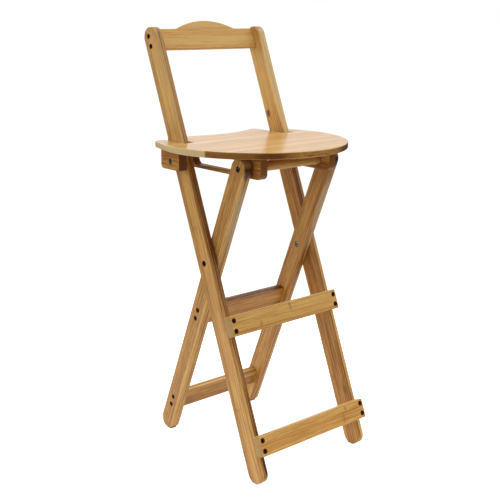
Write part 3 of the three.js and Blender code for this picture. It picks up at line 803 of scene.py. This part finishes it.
# The outline of a leg: half rounds about the foot and about the top.
def legOutline(top):
    half, steps = stock["legHalf"], stock["roundSteps"]
    return np.concatenate([
        arc(0, top, half, 0, math.pi, steps),
        arc(0, -stock["footArm"], half, math.pi, 2 * math.pi, steps),
    ])


# The crest rail: flat ends, and an arch that leaves them through hollow roundings. The arch's radius
# comes from its rise and half span, and each hollow's centre lies where both curves touch.
def crestOutline():
    half = longInner - stock["fit"]
    top = crestBottom + railSizes["crestHeight"]
    span, climb, foot = railSizes["archHalfSpan"], railSizes["archRise"], railSizes["archFoot"]
    radius = (span**2 + climb**2) / (2 * climb)
    centre = top + climb - radius
    footX = math.sqrt((radius + foot) ** 2 - (top + foot - centre) ** 2)
    slope = math.atan2(top + foot - centre, footX)
    steps = railSizes["footSteps"]
    return np.concatenate([
        [[-half, crestBottom], [half, crestBottom], [half, top]],
        arc(footX, top + foot, foot, 1.5 * math.pi, math.pi + slope, steps),
        arc(0, centre, radius, slope, math.pi - slope, railSizes["archSteps"])[1:-1],
        arc(-footX, top + foot, foot, 2 * math.pi - slope, 1.5 * math.pi, steps),
        [[-half, top]],
    ])


# A rung's face: a rectangle that hangs below the crossing by its drop, as heights in its frame.
def rungOutline(half, level, row):
    high = -railSizes[level + "Drop"][row]
    low = high - railSizes[level + "Height"][row]
    return rectangle(-half, low, half, high, [railSizes["rungCorner"]] * 4)


seatSizes = {
    "thickness": 15,
    "ease": 2.5,
    "bottom": 27.5,  # underside above the pivots
    "overhang": 31.2,  # of the round past the outer face of a block
    "centreSetback": 28,
    "roundSteps": 220,
    "earStart": 17.8,  # degrees from across at which an ear's straight side leaves the round
    "earSide": 52,
    "earCorner": 4,
    "notchPlay": 7,  # room beside a post, inside it, and in front of it
    "notchFrontPlay": 0.9,
    "notchCorner": 4,
    "hollowRadius": 262,
    "hollowSetback": 58.6,  # of its middle behind the pivots
    "hollowSteps": 60,
    "hornCorner": 13,
    "hornSteps": 20,
}


# The seat: a round that runs straight on, at a tangent, into an ear outside each post, a notch round each
# post, a rounded horn inside it, and a hollow arc between the horns.
def seatOutline():
    centreY, radius = seatSizes["centreSetback"], blockOuter + seatSizes["overhang"]
    slope = math.radians(seatSizes["earStart"])
    side = np.array([radius * math.cos(slope), centreY + radius * math.sin(slope)])
    earX, earY = side + seatSizes["earSide"] * np.array([-math.sin(slope), math.cos(slope)])
    notchFront = pivotSetback - stock["legHalf"] - seatSizes["notchFrontPlay"]
    notchInner = longInner - seatSizes["notchPlay"]
    horn, hollow = seatSizes["hornCorner"], seatSizes["hollowRadius"]
    hollowCentre = pivotSetback + seatSizes["hollowSetback"] + hollow
    hornX = notchInner - horn
    hornY = hollowCentre - math.sqrt((hollow + horn) ** 2 - hornX**2)
    hornSlope = math.atan2(hollowCentre - hornY, hornX)
    notchCorner = seatSizes["notchCorner"]
    notch = rounded([
        [*side, 0], [earX, earY, seatSizes["earCorner"]], [blockInner, earY, notchCorner],
        [blockInner, notchFront, notchCorner], [notchInner, notchFront, notchCorner], [notchInner, hornY, 0],
    ])
    right = np.concatenate([
        notch[1:-1],
        arc(hornX, hornY, horn, 0, math.pi - hornSlope, seatSizes["hornSteps"]),
    ])
    return np.concatenate([
        arc(0, centreY, radius, math.pi - slope, 2 * math.pi + slope, seatSizes["roundSteps"])[1:-1],
        right,
        arc(0, hollowCentre, hollow, -hornSlope, hornSlope - math.pi, seatSizes["hollowSteps"])[1:-1],
        right[::-1] * [-1, 1],
    ])


woods = []  # node, surface, group and board


# Notes a wooden piece: its surface, its group, the middle and axes that its material follows, and what is
# particular to its wood. Its layers' tones run from the low side of the board to the high one.
def addWood(node, surface, group, middle, grain, strips, seed, wood):
    place = placed(middle, *frames[group])
    board = {"middle": place, "grain": grain, "strips": strips, "seed": seed, **wood}
    woods.append((node, surface, group, board))


boardSeeds = {  # each board draws its tones by its own seed
    "long_leg": 3, "short_leg": 8, "crest": 12, "mid": 14, "low": 17, "dowel": 23,
    "slotted_bearer": 27, "pivot_block": 31, "seat": 41,
}
upLong, upShort = longAxes[2], shortAxes[2]
twoLayers = {
    "layer": 14, "layerStart": 1.0, "layerSeam": [1.4, 0.5],
    "ramp": [[0.0, "562b0c"], [0.3, "a0703b"], [0.55, "c69a57"], [0.8, "dfb66f"], [1.0, "ecc986"]],
}
knuckle, knot = "8c5d2c", "5c3413"
# Besides the wood's own tones, glue lines, knuckles and knots, some marks paint light and shade: each post
# above the seat lighter, where light falls freely, and each front face just below the seat darker, in the
# seat's shade.
longLegWoodAndShading = {
    "left": {
        "look": twoLayers, "layers": [0, 0.42, 0.42],
        "toneMarks": [
            [(0, 27, 7), (700, 8, 7), 0.85, 1.0, -0.22],
            # Painted light: the post above the seat lighter, on its outer layer and on its front face.
            [(430, 0, -9), (200, 60, 8), 0.4, 1.0, 0.17],
            [(420, 25, 6), (190, 7, 5), 0.6, 1.0, 0.25],
            # Painted shade: the front face just below the seat darker.
            [(70, 26, 0), (230, 8, 14), 0.6, 1.0, -0.1],
            [(-420, 26, 6), (160, 8, 6), 0.5, 1.0, -0.2],
            [(-500, 22, 7), (90, 14, 6), 0.6, 1.0, -0.3],
            [(-400, 26, -6), (170, 6, 4), 0.6, 1.0, 0.2],
        ],
        "marks": [
            # Painted light: a pale stretch on the post's front face, above the seat.
            [(420, 25, -5), (190, 7, 6.5), 0.85, 0.4, "e4c084"],
            [(-346, -8, -11), (7, 14, 5), 0.2, 0.35, knuckle],
            [(86, -2, -11), (6, 16, 5), 0.2, 0.35, knuckle],
        ],
    },
    "right": {
        "look": twoLayers, "layers": [0, 0.38, 0.7],
        "toneMarks": [
            # Painted light: the post above the seat lighter, on its outer layer and on its front face.
            [(430, 0, -8), (200, 60, 9), 0.4, 1.0, 0.38],
            [(430, 26, 0), (190, 9, 14), 0.7, 1.0, 0.3],
            # Painted shade: the front face just below the seat darker.
            [(120, 26, 0), (150, 8, 14), 0.6, 1.0, -0.22],
        ],
        "marks": [
            # Painted light: a pale stretch on the post's front face, above the seat.
            [(430, 26, 0), (190, 9, 14), 0.8, 0.55, "f0cf92"],
            [(345, -12, -11), (16, 9, 6), 0.25, 0.85, knot],
            [(138, -10, -11), (9, 15, 5), 0.2, 0.5, knuckle],
            [(-346, -10, -11), (7, 12, 5), 0.2, 0.5, knuckle],
            [(-381, 18, -11), (22, 8, 5), 0.2, 0.55, knot],
        ],
    },
}
shortLegWoodAndShading = {
    "look": twoLayers, "layers": [0, 0.46, 0.52],
    # Painted shade: the round top's front face darker, under the seat.
    "toneMarks": [[(266, 26, 0), (42, 16, 18), 0.5, 1.0, -0.6]],
    # Painted light: the upper front face paler, lit from the front.
    "marks": [[(130, 26, 0), (100, 8, 22), 0.5, 0.45, "d2b58c"]],
}
frontRungWood = {"look": {"coat": 0.3, "rosiness": 0.5}, "layers": [0.95, 0.9, 0.64]}
frontRungMarks = {
    "mid": [[(13, 12, 12), (5, 14, 5), 0.2, 0.6, knuckle], [(-85, -10, 12), (8, 9, 5), 0.2, 0.45, knuckle]],
    "low": [[(109, 13, 12), (6, 8, 5), 0.3, 0.6, knuckle], [(98, -6, 12), (8, 18, 5), 0.2, 0.4, knuckle]],
}
# The middle layer shows on a rung's top: nearly black on the mid rung as painted shade under the seat, and
# bright on the low rung as painted light on its top.
rearRungLayersAndTopShading = {"mid": [0.32, 0.02, 0.42], "low": [0.6, 1.0, 0.34]}
bearerWood = {"look": {"endLight": "96632e", "endDark": "6b4219"}, "layers": [0.36, 0.4, 0.36]}
blockWood = {"look": {"endLight": "7a4a24", "endDark": "553016"}, "layers": [0.36, 0.42, 0.36]}

grains = {"long": (upLong, -longAxes[1]), "short": (upShort, -shortAxes[1]), "seat": (back, rise)}
thick = stock["thickness"]


# Boards that stand in pairs, from outline, inner face, thickness, group, how far back their middle lies, and
# wood. Legs are cut flat above their foot pads.
def addPairs(pairs):
    for side, sign in bothSides:
        for kind, (outline, inner, thickness, group, setback, wood) in pairs.items():
            surface = standingBoard(outline, inner, thickness, sign, *frames[group])
            surface[..., 2] = np.maximum(surface[..., 2], stock["floorGap"] * mm)
            middle = [sign * (inner + thickness / 2), setback, 0]
            seed = boardSeeds[kind] + sign
            addWood(f"{side}_{kind}", surface, group, middle, *grains[group], seed, wood.get(side, wood))


addPairs({
    "long_leg": (legOutline(stock["headArm"]), longInner, thick, "long", 0, longLegWoodAndShading),
    "short_leg": (legOutline(pivotArm), shortInner, thick, "short", 0, shortLegWoodAndShading),
})
surface = facingBoard(crestOutline(), railSizes["crestThickness"], crestRear, *frames["long"])
middle = [0, crestMiddle, crestBottom + railSizes["crestHeight"] / 2]
addWood("crest_rail", surface, "long", middle, across, upLong, boardSeeds["crest"], {
    "look": {"ramp": [[0.0, "562b08"], [0.3, "a16e33"], [0.55, "cc974b"], [0.8, "e6b363"], [1.0, "f2c87c"]]},
    "layers": [0.9, 0.9, 0.9],
})
for level in ("mid", "low"):
    seed = boardSeeds[level]
    height = -railSizes[level + "Screws"] - railSizes["screwPitch"] / 2
    outline = rungOutline(stock["outer"], level, "front")
    surface = facingBoard(outline, railSizes["frontRung"], frontRungBack, *frames["long"])
    middle = [0, (frontRungBack + frontRungFace) / 2, height]
    addWood(f"front_{level}_rung", surface, "long", middle, across, upLong, seed,
            {**frontRungWood, "marks": frontRungMarks[level]})
    rear = railSizes["rearSetback"] + stock["thickness"] / 2
    outline = rungOutline(shortInner - stock["fit"], level, "rear")
    surface = facingBoard(outline, stock["thickness"], rear, *frames["short"])
    middle = [0, railSizes["rearSetback"], height]
    addWood(f"rear_{level}_rung", surface, "short", middle, across, upShort, seed + 1,
            {"layers": rearRungLayersAndTopShading[level]})

# The dowel is a rod with slightly eased ends.
half, ease = shortInner - stock["fit"], carriers["dowelEase"]
section = circle(carriers["dowel"], carriers["dowelSteps"])
rod = carried(section, [-ease, 0, 0, -ease], [-half, ease - half, half - ease, half])
surface = placed(rod, dowelSpot, axesAlong(across))
addWood("top_dowel", surface, "short", [0, 0, pivotArm], across, upShort, boardSeeds["dowel"],
        {"layers": [0.5, 0.5, 0.5]})

# Under the seat lie slotted bearers, inside the short legs, and pivot blocks, outside the long ones.
over, ease = stock["overrun"], carriers["slotEase"]
slotHeight, slotRound, steps = -carriers["slotBelow"], carriers["slot"], carriers["slotSteps"]
slot = np.concatenate([
    arc(slotEnd, slotHeight, slotRound, -math.pi / 2, math.pi / 2, steps),
    arc(-pivotSetback, slotHeight, slotRound, math.pi / 2, 1.5 * math.pi, steps),
])
slots = {}
for side, sign in bothSides:
    start = min(sign * bearerInner, sign * bearerOuter)
    cut = carried(slot, [over + ease, 0, 0, over + ease],
                  [start - over, start + ease, start + thick - ease, start + thick + over])
    slots[f"{side}_slotted_bearer"] = [placed(cut, seatOrigin, [seatAxes[1], seatAxes[2], seatAxes[0]])]
corner = carriers["corner"]
bearerOutline = rectangle(bearerFront, bearerBottom, bearerRear, carriers["top"],
                          [carriers["noseCorner"], corner, corner, corner])
blockOutline = rectangle(blockFront, -carriers["blockDepth"], blockRear, carriers["top"],
                         [corner, carriers["blockCorner"], corner, corner])

addPairs({
    "slotted_bearer": (bearerOutline, bearerInner, thick, "seat", 0, bearerWood),
    "pivot_block": (blockOutline, blockInner, stock["blockThickness"], "seat", pivotSetback, blockWood),
})

surface = carried(seatOutline(), *boardEdge(seatSizes["thickness"], seatSizes["ease"]))
surface = placed(surface + [0, 0, seatSizes["bottom"]], seatOrigin, seatAxes)
middle = [0, 0, seatSizes["bottom"] + seatSizes["thickness"] / 2]
seatStrip, seatLine = 24.5, 54  # width of a strip, and how far in front of the crossing a glue line lies
seatLook = {
    "strip": seatStrip, "stagger": 0.0, "shift": seatLine / seatStrip, "coat": 0.5, "coatRoughness": 0.16,
    "layer": 13.6,  # the seat is one layer; this split paints light on its top and shade on its rim
    "layerSeam": [0.3, 0.1], "endLight": "94601f", "endDark": "6e4212", "endFrom": 0.2, "endTo": 0.45,
}
paleRim = "dcc28c"
addWood("seat_board", surface, "seat", middle, across, back, boardSeeds["seat"], {
    # The top's light tone is painted light, and the rim's darker middle tone is painted shade.
    "look": seatLook, "layers": [0.46, 0.36, 0.62],
    "endMarks": [[(sign * 205, 58, 0), (90, 116, 60), 0.97, 0.85, paleRim] for sign in (-1, 1)],
    # Painted shade: dark stretches on the rim towards its front, which faces away from the light.
    "marks": [[(sign * 118, -166, -1), (44, 40, 10), 0.5, 0.6, "5a2f08"] for sign in (-1, 1)],
})

for node, surface, group, board in woods:
    name = node + "_wood"
    finish = bambooMaterial(node, board)
    mesh = meshOf(name, [surface], [finish])
    mesh = drilled(mesh, slots.get(node, []), finish)
    mesh = drilled(mesh, holes[group], boredShadedWood)
    slotName = "seat_bamboo" if node == "seat_board" else "bamboo"
    addPiece(name, mesh, node, bodies[group])
print("wooden pieces made:", len(woods))

for node, surface, body, (slotName, material) in steelPieces:
    name = node + "_steel"
    mesh = meshOf(name, [surface], [material, shadedSocket])
    walls = (len(surface) - 2) * fasteners["sides"]  # the socket's walls and floor are the last faces
    which = np.zeros(len(mesh.polygons), int)
    which[walls : walls + fasteners["sides"]] = 1
    which[-1] = 1
    mesh.polygons.foreach_set("material_index", which)
    addPiece(name, mesh, node, body)
for node, surface in washers:
    name = node + "_ring"
    mesh = meshOf(name, [surface], [nylon], looped=True)
    addPiece(name, mesh, node, "long_frame")
print("steel pieces and washers made:", len(steelPieces), len(washers))

padSizes = {
    "width": 18,
    "length": 18,
    "thickness": 2.5,
    "inset": 2,  # from below the middle of a foot towards the stool's middle
    "corner": 2,
    "ease": 0.3,
}
padReach = stock["footArm"] * math.sin(lean) - padSizes["inset"]
halfX, halfY = padSizes["width"] / 2, padSizes["length"] / 2
ease, tall = padSizes["ease"], padSizes["thickness"]
padOutline = rectangle(-halfX, -halfY, halfX, halfY, [padSizes["corner"]] * 4)
pad = carried(padOutline, [-ease, 0, 0, -ease], [0, ease, tall - ease, tall])
for side, sign in bothSides:
    for row, body, x, way in (
        ("front", "long_frame", (stock["outer"] + longInner) / 2, -1),
        ("rear", "short_frame", (shortOuter + shortInner) / 2, 1),
    ):
        centre = np.array([sign * x * mm, crossing[1] + way * padReach * mm, 0])
        name = f"{side}_{row}_pad_rubber"
        mesh = meshOf(name, [placed(pad, centre, seatAxes)], [rubber])
        addPiece(name, mesh, f"{side}_{row}_pad", body)
print("foot pads made")

studio = {
    "camera": (-1.45506, -1.64463, 1.0560),
    "azimuth": -41.0076,
    "pitch": 13.6446,
    "roll": 0.49957,
    "lens": 66.866,
    "sensor": 36,
    "shift": (0.0004, -0.0278),
    "floorRadius": 60,
    "floorSides": 64,
    "sheetRadius": (1.1, 1.7),  # the white sheet under the stool ends between these, and dark ground follows
    "sheet": 0.65,
    "ground": 0.03,
    "sheetGlow": 0.45,
    "shown": (0.75, 1.0),  # light that the camera sees the sheet and the ground give off by themselves
    "skyShown": 1.0,
    "lamps": [  # from where, how narrow and how strong each soft light of the studio is
        ((0, 0, 1), 8.0, 0.45),
        ((0.7, 0, 0.7), 6.0, 2.7),
        ((-1, 0, 0), 3.0, 2.2),
        ((1, 0, 0), 3.0, 0.6),
        ((0, -0.45, 0.9), 10.0, 1.3),
        ((0, 1, 0), 3.0, 2.0),
    ],
}


# The camera stands at its place and looks along the azimuth and pitch, with a small roll about its view.
def makeCamera():
    camera = bpy.data.cameras.new("camera")
    camera.lens, camera.sensor_width = studio["lens"], studio["sensor"]
    camera.shift_x, camera.shift_y = studio["shift"]
    azimuth, pitch, roll = (math.radians(studio[key]) for key in ("azimuth", "pitch", "roll"))
    ahead = np.array([
        -math.sin(azimuth) * math.cos(pitch), math.cos(azimuth) * math.cos(pitch), -math.sin(pitch)
    ])
    right = np.cross(ahead, rise) / np.linalg.norm(np.cross(ahead, rise))
    top = np.cross(right, ahead)
    rolled = math.cos(roll) * right + math.sin(roll) * top
    above = math.cos(roll) * top - math.sin(roll) * right
    item = bpy.data.objects.new("camera", camera)
    turn = Matrix(np.array([rolled, above, -ahead]).T.tolist()).to_4x4()
    item.matrix_world = Matrix.Translation(studio["camera"]) @ turn
    bpy.context.scene.collection.objects.link(item)
    bpy.context.scene.camera = item


# A round floor, flat at height 0: a white sheet that fades into dark ground away from the stool. To the
# camera both give off light, as an overexposed backdrop does.
def makeFloor():
    a = np.linspace(0, 2 * math.pi, studio["floorSides"], endpoint=False)
    rim = np.stack([np.cos(a), np.sin(a), 0 * a], axis=1) * studio["floorRadius"]
    mesh = bpy.data.meshes.new("floor")
    mesh.from_pydata(rim, [], [list(range(len(a)))])
    material, tree = newMaterial("paleFloor")
    coordinates = addNode(tree, "TexCoord", {})
    distance = addMath(tree, "LENGTH", coordinates.outputs["Object"], kind="VectorMath")
    reach = (distance.outputs["Value"], *studio["sheetRadius"])
    pale = addRange(tree, *reach, studio["sheet"], studio["ground"])
    glow = addRange(tree, *reach, studio["sheetGlow"], 0.0)
    shown = addRange(tree, *reach, *studio["shown"])
    path = addNode(tree, "LightPath", {})
    strength = addRange(tree, path.outputs["Is Camera Ray"], 0.0, 1.0, glow, shown)
    lit = addNode(tree, "Emission", {"Strength": strength})
    matt = addNode(tree, "BsdfDiffuse", {"Color": pale})
    shader = addNode(tree, "AddShader", {0: lit, 1: matt})
    addNode(tree, "OutputMaterial", {"Surface": shader})
    mesh.materials.append(material)
    floor = bpy.data.objects.new("floor", mesh)
    bpy.context.scene.collection.objects.link(floor)


# Soft lights all round: each one's strength falls off as the cosine of the angle from it, to the power
# given. The camera sees plain white.
def makeLight():
    world = bpy.data.worlds.new("studio")
    world.use_nodes = True
    world.node_tree.nodes.clear()
    tree = world.node_tree
    coordinates = addNode(tree, "TexCoord", {})
    light = 0.0
    for source, power, strength in studio["lamps"]:
        facing = addMath(tree, "DOT_PRODUCT", coordinates.outputs["Generated"], source, kind="VectorMath")
        ahead = addMath(tree, "MAXIMUM", facing.outputs["Value"], 0.0)
        narrow = addMath(tree, "POWER", ahead, power)
        light = addMath(tree, "MULTIPLY_ADD", narrow, strength, light)
    path = addNode(tree, "LightPath", {})
    strength = addRange(tree, path.outputs["Is Camera Ray"], 0.0, 1.0, light, studio["skyShown"])
    sky = addNode(tree, "Background", {"Color": (1, 1, 1, 1), "Strength": strength})
    addNode(tree, "OutputWorld", {"Surface": sky})
    bpy.context.scene.world = world


makeCamera()
makeFloor()
makeLight()
bpy.context.scene.view_settings.view_transform = "Standard"
print("camera, floor and light made")
